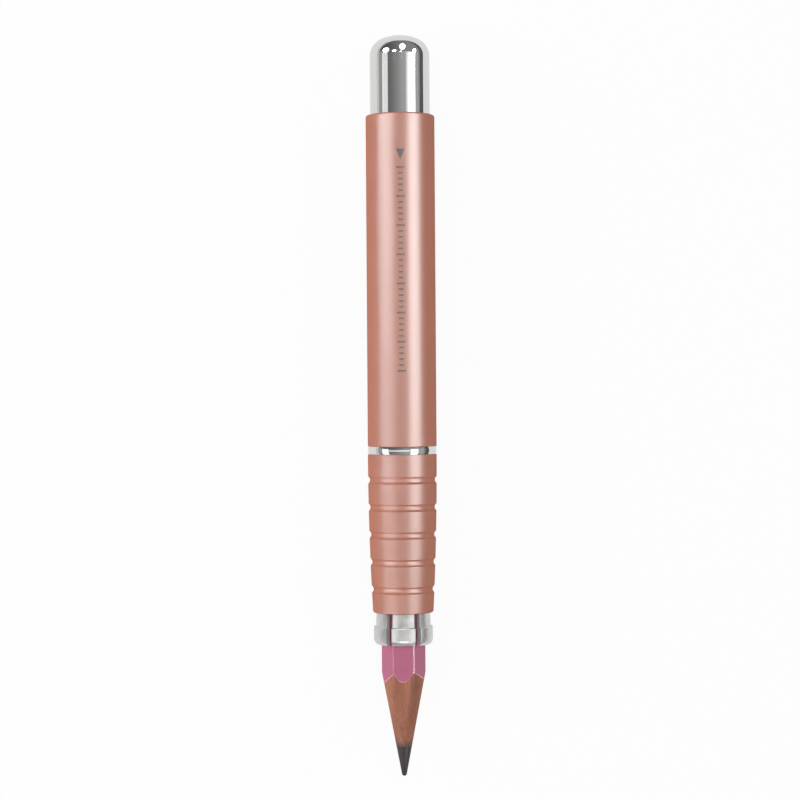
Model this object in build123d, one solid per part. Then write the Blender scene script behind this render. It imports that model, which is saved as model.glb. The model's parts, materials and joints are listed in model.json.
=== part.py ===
"""Pencil extender: a push cap opens a six-jaw collet that holds a short hexagonal pencil.

Each piece is turned about +Z, with z = 0 at the grip's mouth and the cap above, then laid along +X
on the floor. All sizes are in millimetres and degrees.
"""

import os
from math import atan2, cos, degrees, radians, sin, sqrt, tan

from build123d import *

# Pencil
PENCIL_FLATS = 6.8
PENCIL_CORNER_RADIUS = 0.7
PENCIL_LENGTH = 70.0
PENCIL_PROUD = 4.66
LACQUER = 0.12
LEAD_DIA = 2.7
POINT_HALF_ANGLE = 10.7
TIP_RADIUS = 0.44

# Collet
JAW_COUNT = 6
JAW_SLACK = 0.05
JAW_SLOT = 1.1
JAW_SHANK = 0.85
JAW_NECK = 1.22
JAW_COLLAR = 1.7
NECK_HALF_ANGLE = 3.5
NECK_PROUD = 2.37
COLLAR_LENGTH = 3.24
COLLAR_FRONT_FILLET = 1.1
COLLAR_BACK_FILLET = 0.22
NECK_FILLET = 0.1
FLEX_GAP = 0.1
TAIL_LENGTH = 5.0

# Plunger
STROKE = 5.0
STOP_MARGIN = 0.2
TUBE_BORE = 8.3
TUBE_WALL = 0.33
TUBE_PAST_BARREL = 3.0
THREAD_SLACK = 0.02
COUPLING_WALL = 0.42
COUPLING_GAP = 0.4
CAP_PROUD = 14.03
CAP_DEPTH = 8.0
CAP_WALL = 0.4
CAP_CROWN = 8.0
CAP_CORNER = 3.2
CAP_EDGE_FILLET = 0.15
CORE_SKIRT = 7.0

# Spring
SPRING_WIRE = 0.6
SPRING_TURNS = 13.0
SPRING_TUBE_SLACK = 0.12
SPRING_BORE_SLACK = 0.1

# Barrel, band and grip
BARREL_WALL = 0.7
BARREL_LENGTH = 57.56
BARREL_RIM_FILLET = 0.3
EDGE_FILLET = 0.08
BAND_LENGTH = 1.4
BAND_RECESS = 0.03
BAND_CROWN = 0.1
CAP_SLACK = 0.1
GUIDE_SLACK = 0.08
SLEEVE_SLACK = 0.1
SLEEVE_IN_GRIP = 5.1
SLEEVE_IN_BARREL = 6.9
GRIP_LENGTH = 27.53
MOUTH_WALL = 0.54
MOUTH_FILLET = 0.32
SEAT_SLACK = 0.05
SEAT_LENGTH = 3.0
FRONT_BORE_SLACK = 0.45
STOP_FROM_MOUTH = 8.0
GROOVE_COUNT = 5
GROOVE_PITCH = 4.75
GROOVE_FROM_MOUTH = 4.08
GROOVE_RADIUS = 0.75
GROOVE_DEPTH = 0.32
GROOVE_EDGE_FILLET = 0.3

# Radii, from the pencil outwards
JAW_FLAT = PENCIL_FLATS / 2 + JAW_SLACK
SHANK_RADIUS = JAW_FLAT + JAW_SHANK
NECK_RADIUS = JAW_FLAT + JAW_NECK
COLLAR_RADIUS = JAW_FLAT + JAW_COLLAR
TUBE_RADIUS = TUBE_BORE / 2 + TUBE_WALL
COUPLING_BORE = TUBE_RADIUS + THREAD_SLACK
COUPLING_RADIUS = COUPLING_BORE + COUPLING_WALL
GUIDE_RADIUS = COUPLING_RADIUS + GUIDE_SLACK
SPRING_RADIUS = TUBE_RADIUS + SPRING_TUBE_SLACK + SPRING_WIRE / 2
BARREL_BORE = SPRING_RADIUS + SPRING_WIRE / 2 + SPRING_BORE_SLACK
BARREL_RADIUS = BARREL_BORE + BARREL_WALL
CAP_RADIUS = BARREL_BORE - CAP_SLACK
MOUTH_BORE = NECK_RADIUS + SEAT_SLACK
MOUTH_RADIUS = MOUTH_BORE + MOUTH_WALL
FRONT_BORE = SHANK_RADIUS + FRONT_BORE_SLACK

# Heights above the grip's mouth
COLLAR_BACK = -NECK_PROUD
COLLAR_FRONT = COLLAR_BACK - COLLAR_LENGTH
CONE_START = COLLAR_FRONT - PENCIL_PROUD
COUPLING_FRONT = STOP_FROM_MOUTH + STROKE + STOP_MARGIN
TAIL_FRONT = COUPLING_FRONT
JAW_ROOT = TAIL_FRONT - FLEX_GAP
TAIL_BACK = TAIL_FRONT + TAIL_LENGTH
SLEEVE_FRONT = GRIP_LENGTH - SLEEVE_IN_GRIP
COUPLING_BACK = SLEEVE_FRONT - COUPLING_GAP
BARREL_FRONT = GRIP_LENGTH + BAND_LENGTH
BARREL_BACK = BARREL_FRONT + BARREL_LENGTH
SLEEVE_BACK = BARREL_FRONT + SLEEVE_IN_BARREL
CAP_FRONT = BARREL_BACK - CAP_DEPTH
CAP_BACK = BARREL_BACK + CAP_PROUD
TUBE_BACK = BARREL_BACK + TUBE_PAST_BARREL
DOME_CENTRE = CAP_BACK - CAP_CROWN
DOME_SIDE = DOME_CENTRE + sqrt((CAP_CROWN - CAP_CORNER) ** 2 - (CAP_RADIUS - CAP_CORNER) ** 2)
PENCIL_CORNER = PENCIL_FLATS / 2 / cos(radians(30)) - PENCIL_CORNER_RADIUS * (1 / cos(radians(30)) - 1)
POINT_APEX = CONE_START - PENCIL_CORNER / tan(radians(POINT_HALF_ANGLE))
TIP_CENTRE = POINT_APEX + TIP_RADIUS / sin(radians(POINT_HALF_ANGLE))
PENCIL_TIP = TIP_CENTRE - TIP_RADIUS
PENCIL_BACK = PENCIL_TIP + PENCIL_LENGTH

# Half a facet of the meshed barrel, so that it lies on a flat and stays put
SEAM_TURN = 180 / 70

# The floor frame: the axis lies along +X, one barrel radius up, with the whole length centred
FLOOR = Location((-(CAP_BACK + PENCIL_TIP) / 2, 0, BARREL_RADIUS), (0, 90, 0))


def spun(face):
    """Solid of revolution about Z from a face drawn as (radius, height)."""
    return Rot(0, 0, SEAM_TURN) * revolve(Plane.XZ * face, Axis.Z)


def turned(*edges):
    """Solid of revolution about Z from a closed outline drawn as (radius, height)."""
    return spun(make_face(edges))


def ring(inner, outer, low, high):
    """Plain tube between two radii and two heights."""
    return turned(Polyline((inner, low), (outer, low), (outer, high), (inner, high), close=True))


def softened(face, radius, *corners):
    """The outline with the corners nearest to the given points rounded."""
    for corner in corners:
        face = fillet(face.vertices().sort_by_distance(corner)[0], radius)
    return face


def upper_barrel():
    """Plain tube with a rounded rim round the cap."""
    outline = make_face(
        Polyline(
            (BARREL_BORE, BARREL_FRONT),
            (BARREL_RADIUS, BARREL_FRONT),
            (BARREL_RADIUS, BARREL_BACK),
            (BARREL_BORE, BARREL_BACK),
            close=True,
        )
    )
    outline = softened(outline, BARREL_RIM_FILLET, (BARREL_RADIUS, BARREL_BACK))
    outline = softened(outline, EDGE_FILLET, (BARREL_BORE, BARREL_BACK), (BARREL_RADIUS, BARREL_FRONT))
    return spun(outline)


def centre_band():
    """Crowned ring clamped between barrel and grip."""
    crest = BARREL_RADIUS - BAND_RECESS
    shoulder = crest - BAND_CROWN
    middle = GRIP_LENGTH + BAND_LENGTH / 2
    return turned(
        Polyline(
            (shoulder, BARREL_FRONT),
            (BARREL_BORE, BARREL_FRONT),
            (BARREL_BORE, GRIP_LENGTH),
            (shoulder, GRIP_LENGTH),
        ),
        ThreePointArc((shoulder, GRIP_LENGTH), (crest, middle), (shoulder, BARREL_FRONT)),
    )


def grip_radius(height):
    """Outer radius of the grip: one wide arc, upright at the band."""
    fall = BARREL_RADIUS - MOUTH_RADIUS
    sweep_radius = (GRIP_LENGTH**2 + fall**2) / (2 * fall)
    return BARREL_RADIUS - sweep_radius + sqrt(sweep_radius**2 - (GRIP_LENGTH - height) ** 2)


def lower_grip():
    """Tapering grip: grooves outside; seat, front bore, guide bore and sleeve bore inside."""
    seat_back = MOUTH_BORE - SEAT_LENGTH * tan(radians(NECK_HALF_ANGLE))
    outside = ThreePointArc(
        (MOUTH_RADIUS, 0), (grip_radius(GRIP_LENGTH / 2), GRIP_LENGTH / 2), (BARREL_RADIUS, GRIP_LENGTH)
    )
    inside = Polyline(
        (BARREL_RADIUS, GRIP_LENGTH),
        (BARREL_BORE, GRIP_LENGTH),
        (BARREL_BORE, SLEEVE_FRONT),
        (GUIDE_RADIUS, SLEEVE_FRONT),
        (GUIDE_RADIUS, STOP_FROM_MOUTH),
        (FRONT_BORE, STOP_FROM_MOUTH),
        (FRONT_BORE, SEAT_LENGTH),
        (seat_back, SEAT_LENGTH),
        (MOUTH_BORE, 0),
        (MOUTH_RADIUS, 0),
    )
    outline = make_face([outside, inside])
    outline = softened(outline, MOUTH_FILLET, (MOUTH_RADIUS, 0))
    outline = softened(outline, EDGE_FILLET, (BARREL_RADIUS, GRIP_LENGTH))
    half_width = sqrt(GROOVE_RADIUS**2 - (GROOVE_RADIUS - GROOVE_DEPTH) ** 2)
    for index in range(GROOVE_COUNT):
        height = GROOVE_FROM_MOUTH + index * GROOVE_PITCH
        centre = grip_radius(height) + GROOVE_RADIUS - GROOVE_DEPTH
        outline -= Pos(centre, height) * Circle(GROOVE_RADIUS)
        edges = [(grip_radius(height + side), height + side) for side in (-half_width, half_width)]
        outline = softened(outline, GROOVE_EDGE_FILLET, *edges)
    return spun(outline)


def joint_sleeve():
    """Sleeve inside barrel, band and grip."""
    return ring(TUBE_RADIUS + SLEEVE_SLACK, BARREL_BORE, SLEEVE_FRONT, SLEEVE_BACK)


def domed(inset, low):
    """Solid under the cap's dome, a given inset inside its outer face."""
    tangent = degrees(atan2(DOME_SIDE - DOME_CENTRE, CAP_RADIUS - CAP_CORNER))
    side = CAP_RADIUS - inset
    top = CAP_BACK - inset
    return turned(
        Polyline((0, top), (0, low), (side, low), (side, DOME_SIDE)),
        CenterArc((CAP_RADIUS - CAP_CORNER, DOME_SIDE), CAP_CORNER - inset, 0, tangent),
        CenterArc((0, DOME_CENTRE), CAP_CROWN - inset, tangent, 90 - tangent),
    )


def push_cap():
    """Drawn cap of even wall with a domed end."""
    shell = domed(0, CAP_FRONT) - domed(CAP_WALL, CAP_FRONT)
    rim = shell.edges().filter_by(GeomType.CIRCLE).group_by(Axis.Z)[0].sort_by(SortBy.RADIUS)[-1]
    return fillet(rim, CAP_EDGE_FILLET)


def cap_core():
    """Plastic cup over the tube's end, filling the cap up to its dome."""
    outer = CAP_RADIUS - CAP_WALL - THREAD_SLACK
    inner = TUBE_RADIUS + THREAD_SLACK
    return turned(
        Polyline(
            (0, TUBE_BACK),
            (inner, TUBE_BACK),
            (inner, TUBE_BACK - CORE_SKIRT),
            (outer, TUBE_BACK - CORE_SKIRT),
            (outer, DOME_SIDE),
            (0, DOME_SIDE),
            close=True,
        )
    )


def pencil_tube():
    """Plain tube from the collet's tail to the cap's core."""
    return ring(TUBE_BORE / 2, TUBE_RADIUS, TAIL_BACK, TUBE_BACK)


def return_spring():
    """One unbroken wire coiled between sleeve and cap, with both ends ground flat."""
    length = CAP_FRONT - SLEEVE_BACK
    pitch = length / SPRING_TURNS
    path = Helix(pitch, length, SPRING_RADIUS, (0, 0, SLEEVE_BACK))
    wire = sweep(Plane(path @ 0, z_dir=path % 0) * Circle(SPRING_WIRE / 2), path, is_frenet=True)
    slab = Pos(0, 0, SLEEVE_BACK + length / 2) * Box(4 * BARREL_RADIUS, 4 * BARREL_RADIUS, length)
    return wire & slab


def collet_tail():
    """Ring from which the jaws spring."""
    return ring(TUBE_BORE / 2, TUBE_RADIUS, TAIL_FRONT, TAIL_BACK)


def collet_coupling():
    """Ring over the joint of tail and tube: its front meets the grip's stop, its back the sleeve."""
    return ring(COUPLING_BORE, COUPLING_RADIUS, COUPLING_FRONT, COUPLING_BACK)


def collet_jaw(index):
    """One jaw: shank, tapered neck and collar, between two slots and outside one flat of the pencil."""
    slope = tan(radians(NECK_HALF_ANGLE))
    taper_back = (NECK_RADIUS - SHANK_RADIUS) / slope
    neck_front = NECK_RADIUS + NECK_PROUD * slope
    outline = make_face(
        Polyline(
            (0, COLLAR_FRONT),
            (COLLAR_RADIUS, COLLAR_FRONT),
            (COLLAR_RADIUS, COLLAR_BACK),
            (neck_front, COLLAR_BACK),
            (SHANK_RADIUS, taper_back),
            (SHANK_RADIUS, JAW_ROOT),
            (0, JAW_ROOT),
            close=True,
        )
    )
    outline = softened(outline, COLLAR_FRONT_FILLET, (COLLAR_RADIUS, COLLAR_FRONT))
    outline = softened(outline, NECK_FILLET, (neck_front, COLLAR_BACK))
    outline = softened(outline, COLLAR_BACK_FILLET, (COLLAR_RADIUS, COLLAR_BACK))
    half_pitch = radians(180 / JAW_COUNT)
    slots_meet = JAW_SLOT / 2 / sin(half_pitch)
    reach = 2 * COLLAR_RADIUS
    inner = (JAW_FLAT - slots_meet) * tan(half_pitch)
    outer = (reach - slots_meet) * tan(half_pitch)
    sector = make_face(
        Polyline((JAW_FLAT, -inner), (reach, -outer), (reach, outer), (JAW_FLAT, inner), close=True)
    )
    block = Pos(0, 0, COLLAR_FRONT) * extrude(sector, JAW_ROOT - COLLAR_FRONT, dir=(0, 0, 1))
    return Rot(0, 0, 360 / JAW_COUNT * index) * (spun(outline) & block)


def hex_prism(inset):
    """Hexagonal bar, a given inset inside the pencil's faces, with flats facing along X."""
    outline = RegularPolygon(PENCIL_FLATS / 2 - inset, 6, major_radius=False, rotation=30)
    outline = fillet(outline.vertices(), PENCIL_CORNER_RADIUS - inset)
    return Pos(0, 0, PENCIL_TIP) * extrude(outline, PENCIL_LENGTH, dir=(0, 0, 1))


def sharpened():
    """Everything that the sharpener leaves: a blunt cone and the bar behind it."""
    reach = PENCIL_FLATS
    slope = tan(radians(POINT_HALF_ANGLE))
    touch = (
        TIP_RADIUS * cos(radians(POINT_HALF_ANGLE)),
        TIP_CENTRE - TIP_RADIUS * sin(radians(POINT_HALF_ANGLE)),
    )
    return turned(
        CenterArc((0, TIP_CENTRE), TIP_RADIUS, -90, 90 - POINT_HALF_ANGLE),
        Polyline(
            touch,
            (reach, POINT_APEX + reach / slope),
            (reach, PENCIL_BACK),
            (0, PENCIL_BACK),
            (0, PENCIL_TIP),
        ),
    )


def pencil():
    """The stub's pieces: lacquer, two slats parted through opposite corners, and lead."""
    point = sharpened()
    lead = Pos(0, 0, PENCIL_TIP) * Cylinder(
        LEAD_DIA / 2, PENCIL_LENGTH, align=(Align.CENTER, Align.CENTER, Align.MIN)
    )
    casing = (hex_prism(LACQUER) - lead) & point
    seam = Plane.XZ.rotated((0, 0, 30))
    return {
        "pencil_lacquer": (hex_prism(0) - hex_prism(LACQUER)) & point,
        "pencil_upper_slat": split(casing, bisect_by=seam, keep=Keep.BOTTOM),
        "pencil_lower_slat": split(casing, bisect_by=seam, keep=Keep.TOP),
        "pencil_lead": lead & point,
    }


def nodes():
    """Every piece by name, about +Z."""
    pieces = {
        "upper_barrel": upper_barrel(),
        "centre_band": centre_band(),
        "lower_grip": lower_grip(),
        "joint_sleeve": joint_sleeve(),
        "push_cap": push_cap(),
        "cap_core": cap_core(),
        "pencil_tube": pencil_tube(),
        "return_spring": return_spring(),
        "collet_tail": collet_tail(),
        "collet_coupling": collet_coupling(),
    }
    for index in range(JAW_COUNT):
        pieces[f"collet_jaw_{index + 1}"] = collet_jaw(index)
    pieces.update(pencil())
    return pieces


def main():
    """Lay every piece in the floor frame and write its STEP file."""
    os.makedirs("parts", exist_ok=True)
    for name, shape in nodes().items():
        export_step(FLOOR * shape, f"parts/{name}.step")


if __name__ == "__main__":
    main()
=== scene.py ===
"""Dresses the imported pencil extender: satin rose barrel and grip, polished cap and band,
plated collet and a sharpened pencil, lying in a white studio."""

import json
from math import acos, asin, atan2, cos, hypot, pi, radians, sin, sqrt, tan

import bmesh
import bpy
from bpy.props import FloatProperty, FloatVectorProperty, IntProperty, PointerProperty
from mathutils import Matrix, Vector


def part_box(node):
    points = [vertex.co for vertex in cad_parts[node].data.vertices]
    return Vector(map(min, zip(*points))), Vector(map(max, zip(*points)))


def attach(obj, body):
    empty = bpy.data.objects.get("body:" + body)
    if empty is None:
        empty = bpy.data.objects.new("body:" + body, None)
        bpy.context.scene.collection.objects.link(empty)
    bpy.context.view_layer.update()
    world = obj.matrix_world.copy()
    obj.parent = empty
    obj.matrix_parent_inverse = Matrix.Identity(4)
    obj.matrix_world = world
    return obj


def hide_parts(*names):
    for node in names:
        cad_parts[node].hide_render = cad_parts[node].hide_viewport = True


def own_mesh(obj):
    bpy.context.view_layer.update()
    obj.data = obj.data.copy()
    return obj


bl_info = {
    "name": "Pencil Extender",
    "version": (1, 0, 0),
    "blender": (4, 5, 0),
    "location": "View3D > Sidebar > Extender",
    "description": "Models a push-cap pencil extender round its packed frame",
    "category": "Add Mesh",
}

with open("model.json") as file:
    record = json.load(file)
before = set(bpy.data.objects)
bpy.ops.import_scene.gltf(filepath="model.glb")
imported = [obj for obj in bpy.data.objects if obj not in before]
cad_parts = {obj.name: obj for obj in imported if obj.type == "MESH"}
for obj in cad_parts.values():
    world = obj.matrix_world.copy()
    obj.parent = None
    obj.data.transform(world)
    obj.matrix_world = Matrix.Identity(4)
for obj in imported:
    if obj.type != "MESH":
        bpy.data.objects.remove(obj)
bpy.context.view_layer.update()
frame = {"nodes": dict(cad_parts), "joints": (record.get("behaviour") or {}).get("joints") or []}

MM = 0.001
# Facets round a turned piece, and the number of jaws
AROUND = 160
JAWS = 6
# Metres below which two points are one, or a point lies on a plane
TOUCHING = 1e-8
ON_PLANE = 1e-9
IN_METRES = {"precision": 5, "unit": "LENGTH", "subtype": "DISTANCE"}
BARREL_LOW, BARREL_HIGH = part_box("upper_barrel")
AXIS = Vector((0, 0, (BARREL_LOW.z + BARREL_HIGH.z) / 2))
BARREL_RADIUS = (BARREL_HIGH.z - BARREL_LOW.z) / 2


def front(node):
    """The x at which a node begins, on the pencil's side."""
    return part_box(node)[0].x


def back(node):
    """The x at which a node ends, on the cap's side."""
    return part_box(node)[1].x


def cone_apex(pencil):
    """The x at which the sharpener's cone would end, were the tip not blunt."""
    return front("pencil_lead") - pencil.tip * (1 / sin(pencil.half_angle) - 1)


def on_cone(pencil, radius):
    """The x at which the sharpener's cone has a radius."""
    return cone_apex(pencil) + radius / tan(pencil.half_angle)


def wood_share(pencil):
    """Width of the wood, as a share of the lacquered pencil's."""
    return 1 - 2 * pencil.lacquer / pencil.flats


def linear(red, green, blue):
    """A colour as it shows on a screen, 0 to 255, in the renderer's own scale."""
    shown = (red / 255, green / 255, blue / 255)
    return [v / 12.92 if v <= 0.04045 else ((v + 0.055) / 1.055) ** 2.4 for v in shown]


def shaded(tint, share):
    """A colour made darker or lighter."""
    return [min(1, v * share) for v in tint]


def size(name, description, default):
    """A length that a user may change."""
    return FloatProperty(name=name, description=description, default=default, min=0, **IN_METRES)


def place(name, description, default):
    """A position along the axis, which may be negative."""
    return FloatProperty(name=name, description=description, default=default, **IN_METRES)


def turn(name, description, default):
    """An angle that a user may change."""
    return FloatProperty(
        name=name, description=description, default=default, precision=3, unit="ROTATION", subtype="ANGLE"
    )


def number(name, description, default):
    """A plain number from nought up."""
    return FloatProperty(name=name, description=description, default=default, min=0, precision=3)


def colour(name, description, default):
    """A colour that a user may change."""
    return FloatVectorProperty(
        name=name, description=description, default=default, size=3, min=0, max=1, subtype="COLOR"
    )


class ShellSizes(bpy.types.PropertyGroup):
    """Barrel, band and grip."""

    radius: size("Barrel radius", "Outer radius of the barrel", BARREL_RADIUS)
    bore: size("Barrel bore", "Inner radius of barrel and band", 5.3 * MM)
    rim: size("Rim rounding", "Rounding of the barrel's rim round the cap", 0.3 * MM)
    edge: size("Edge rounding", "Rounding of the edges beside the band", 0.08 * MM)
    band_recess: size("Band recess", "How far the band's crest lies below the barrel", 0.03 * MM)
    band_crown: size("Band crown", "Height of the band's rounded face", 0.1 * MM)
    mouth: size("Mouth radius", "Outer radius of the grip at its mouth", 5.26 * MM)
    mouth_bore: size("Mouth bore", "Inner radius of the grip at its mouth", 4.72 * MM)
    mouth_rounding: size("Mouth rounding", "Rounding of the grip's mouth", 0.32 * MM)
    seat_length: size("Seat length", "Length of the tapered seat of the jaws", 3.0 * MM)
    seat_taper: turn("Seat taper", "Half angle of the jaws' seat", radians(3.5))
    front_bore: size("Front bore", "Inner radius between seat and stop", 4.75 * MM)
    stop: size("Stop depth", "Depth of the push's stop behind the mouth", 8.0 * MM)
    guide: size("Guide bore", "Inner radius that guides the coupling", 5.0 * MM)
    grooves: IntProperty(name="Grooves", description="Turned grooves in the grip", default=5, min=0)
    groove_first: size("First groove", "From the mouth to the first groove", 4.08 * MM)
    groove_pitch: size("Groove pitch", "From groove to groove", 4.75 * MM)
    groove_radius: size("Groove radius", "Radius of the tool that cut a groove", 0.75 * MM)
    groove_depth: size("Groove depth", "Depth of a groove", 0.32 * MM)
    groove_edge: size("Groove edge", "Rounding of a groove's edges", 0.3 * MM)


class MarkSizes(bpy.types.PropertyGroup):
    """The printed scale on the barrel."""

    arrow_end: place("Arrow end", "Place of the arrow's flat side", 44.15 * MM)
    arrow_length: size("Arrow length", "Length of the arrow", 1.84 * MM)
    arrow_width: size("Arrow width", "Width of the arrow's flat side", 1.52 * MM)
    scale_end: place("Scale end", "Place of the scale's last line", 41.0 * MM)
    scale_length: size("Scale length", "Length of the scale", 35.0 * MM)
    pitch: size("Line pitch", "From line to line", 1.0 * MM)
    line: size("Line width", "Width of a line", 0.3 * MM)
    short: size("Short line", "Length of a short line", 0.8 * MM)
    long: size("Long line", "Length of every fifth line", 1.45 * MM)


class CapSizes(bpy.types.PropertyGroup):
    """The push cap."""

    radius: size("Radius", "Outer radius of the cap", 5.2 * MM)
    wall: size("Wall", "Thickness of the drawn sheet", 0.4 * MM)
    crown: size("Crown", "Radius of the domed end", 8.0 * MM)
    corner: size("Corner", "Rounding between side and dome", 3.2 * MM)
    edge: size("Edge", "Rounding of the open edge", 0.15 * MM)


class ColletSizes(bpy.types.PropertyGroup):
    """The six jaws."""

    flat: size("Flat", "From the axis to a jaw's inner face", 3.45 * MM)
    slot: size("Slot", "Width of the slots between jaws", 1.1 * MM)
    shank: size("Shank", "Radius of the shank", 4.3 * MM)
    neck: size("Neck", "Radius of the neck at the grip's mouth", 4.67 * MM)
    taper: turn("Taper", "Half angle of the neck", radians(3.5))
    collar: size("Collar", "Radius of the collar", 5.15 * MM)
    collar_length: size("Collar length", "Length of the collar", 3.24 * MM)
    front_rounding: size("Front rounding", "Rounding of the collar's front edge", 1.1 * MM)
    back_rounding: size("Back rounding", "Rounding of the collar's back edge", 0.22 * MM)
    neck_rounding: size("Neck rounding", "Rounding between neck and collar", 0.1 * MM)
    burr: size("Slot edge", "Bevel of the edges of the slots", 0.2 * MM)


class PencilSizes(bpy.types.PropertyGroup):
    """The sharpened stub."""

    flats: size("Across flats", "Width of the pencil from flat to flat", 6.8 * MM)
    corner: size("Corner", "Rounding of the pencil's corners", 0.7 * MM)
    lacquer: size("Lacquer", "Thickness of the lacquer", 0.12 * MM)
    lead: size("Lead", "Radius of the lead", 1.35 * MM)
    half_angle: turn("Half angle", "Half angle of the sharpened cone", radians(10.7))
    tip: size("Tip", "Radius of the blunted tip", 0.44 * MM)
    scallop: number("Scallops", "Depth of the scalloped edge, as a share of a clean cut's", 0.66)
    side_scallop: size("Side scallops", "Reach of the lacquer down the cone on both sides", 1.8 * MM)
    smear: size("Smear", "Height over the cone of the lacquer that is drawn down it", 0.03 * MM)
    scallop_slant: number("Slant", "Slant of the scalloped edge across the pencil", 0.10)
    cut_edge: size("Cut edge", "Length of the pale bevel that the sharpener leaves", 0.18 * MM)
    seam: turn("Seam", "Turn of the glued seam between the slats", radians(30))


class SpringSizes(bpy.types.PropertyGroup):
    """The return spring."""

    radius: size("Radius", "Radius of the coil at the wire's middle", 4.9 * MM)
    wire: size("Wire", "Diameter of the wire", 0.6 * MM)
    turns: IntProperty(name="Turns", description="Turns of the coil", default=13, min=1)


class FinishColours(bpy.types.PropertyGroup):
    """Colours and sheen of the finishes."""

    rose: colour("Rose", "Anodised barrel and grip", (0.458, 0.165, 0.104))
    sheen: number("Sheen", "Share of the light that bare metal under the dye sends back", 0.04)
    ink: colour("Ink", "Printed scale", linear(52, 48, 46))
    chrome: colour("Chrome", "Polished cap and band", (0.83, 0.83, 0.82))
    plate: colour("Plate", "Plated jaws", (0.76, 0.755, 0.74))
    worn: colour("Worn edges", "Bright edges of the jaws", (0.88, 0.88, 0.87))
    sawn: colour("Sawn slots", "Dull walls of the slots between the jaws", (0.5, 0.5, 0.505))
    lacquer: colour("Lacquer", "Skin of the pencil", linear(182, 97, 128))
    primer: colour("Primer", "Cut edge of the lacquer", linear(214, 160, 176))
    wood_light: colour("Early wood", "Light grain of the slats", linear(178, 114, 88))
    wood_dark: colour("Late wood", "Dark grain of the slats", linear(146, 90, 66))
    graphite: colour("Graphite", "Lead", linear(64, 58, 60))
    brass: colour("Brass", "Sleeve and coupling", (0.62, 0.46, 0.20))
    steel: colour("Steel", "Tube, tail and spring", (0.55, 0.55, 0.56))
    plastic: colour("Plastic", "Core of the cap", (0.72, 0.71, 0.68))


class StudioSettings(bpy.types.PropertyGroup):
    """Lamps, walls and camera."""

    top: number("Top light", "Brightness of the broad lamp overhead, which gives no gloss", 1.6)
    side: number("Side light", "Brightness of the bounced light from the left, which gives no gloss", 2.35)
    bounce: number("Bounced light", "Brightness of the weak light from the right, which gives no gloss", 0.9)
    key: number("Rose key", "Gloss of the right softbox on the rose pieces", 21.4)
    fill: number("Rose fill", "Gloss of the left softbox on the rose pieces", 15.7)
    over: number("Rose top", "Gloss of the lamp over the rose pieces", 1.6)
    mirror_key: number("Mirrored key", "Right softbox as the polished pieces mirror it", 1.5)
    mirror_fill: number("Mirrored fill", "Left softbox as the polished pieces mirror it", 0.7)
    mirror_bar: number("Mirrored bar", "Bar overhead that the band mirrors", 0.7)
    spots: number("Spots", "Small lamps that the cap's dome mirrors", 9.0)
    plate_key: number("Collet key", "Right softbox as the collet mirrors it", 0.65)
    plate_fill: number("Collet fill", "Left softbox as the collet mirrors it", 0.95)
    plate_over: number("Collet top", "Lamp overhead as the collet mirrors it", 4.0)
    lacquer_key: number("Lacquer key", "Gloss of the right softbox on the lacquer", 14.0)
    lacquer_fill: number("Lacquer fill", "Gloss of the left softbox on the lacquer", 4.5)
    point_key: number("Point key", "Gloss of the right softbox on wood and lead", 1.5)
    point_fill: number("Point fill", "Gloss of the left softbox on wood and lead", 1.0)
    sky: number("Surroundings", "Brightness of the grey room", 0.3)
    camera_height: size("Camera height", "Height of the camera over the floor", 390.0 * MM)
    camera_along: place("Camera along", "Place of the camera along the object", 0.985 * MM)
    camera_aside: place("Camera aside", "Place of the camera beside the object's axis", 0.33 * MM)
    lens: FloatProperty(name="Lens", description="Focal length of the camera", default=99.1, unit="CAMERA")
    lean: turn("Lean", "Turn of the object in the picture", radians(0.39))


class ExtenderSettings(bpy.types.PropertyGroup):
    """All that a user may change."""

    shell: PointerProperty(type=ShellSizes)
    mark: PointerProperty(type=MarkSizes)
    cap: PointerProperty(type=CapSizes)
    collet: PointerProperty(type=ColletSizes)
    pencil: PointerProperty(type=PencilSizes)
    spring: PointerProperty(type=SpringSizes)
    colours: PointerProperty(type=FinishColours)
    studio: PointerProperty(type=StudioSettings)


class Outline:
    """A lathe outline in the XZ plane: x along the axis and z the radius."""

    def __init__(self, x, radius):
        self.mesh = bmesh.new()
        self.first = bmesh.ops.create_vert(self.mesh, co=(x, 0, radius))["vert"][0]
        self.last = self.first
        self.corners = []

    def line(self, x, radius, rounding=0, segments=6):
        """A straight run to a point, which may be a corner to round later."""
        self.last = bmesh.ops.extrude_vert_indiv(self.mesh, verts=[self.last])["verts"][0]
        self.last.co = (x, 0, radius)
        if rounding:
            self.corners.append((self.last, rounding, segments))
        return self

    def arc(self, x, radius, angle, steps):
        """An arc about a point, against the clock for a positive angle."""
        swung = bmesh.ops.spin(
            self.mesh, geom=[self.last], cent=(x, 0, radius), axis=(0, -1, 0), angle=angle, steps=steps
        )
        self.last = swung["geom_last"][0]
        return self

    def closed(self):
        """Joins the last point to the first."""
        bmesh.ops.contextual_create(self.mesh, geom=[self.last, self.first])
        return self

    def rounded(self):
        """Rounds the corners that were noted."""
        for corner, rounding, segments in self.corners:
            rounded_off(self.mesh, [corner], rounding, segments, "VERTICES")
        return self

    def lathed(self, steps=AROUND):
        """Spins the outline round the axis into a closed skin."""
        bmesh.ops.spin(
            self.mesh,
            geom=self.mesh.verts[:] + self.mesh.edges[:],
            cent=(0, 0, 0),
            axis=(1, 0, 0),
            angle=2 * pi,
            steps=steps,
            use_merge=True,
        )
        return cleaned(self.mesh)


def rounded_off(mesh, geometry, offset, segments, affect, offset_type="OFFSET"):
    """Bevels corners or edges into even rounds."""
    return bmesh.ops.bevel(
        mesh,
        geom=geometry,
        offset=offset,
        offset_type=offset_type,
        segments=segments,
        profile=0.5,
        affect=affect,
        material=-1,
        clamp_overlap=True,
    )


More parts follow.
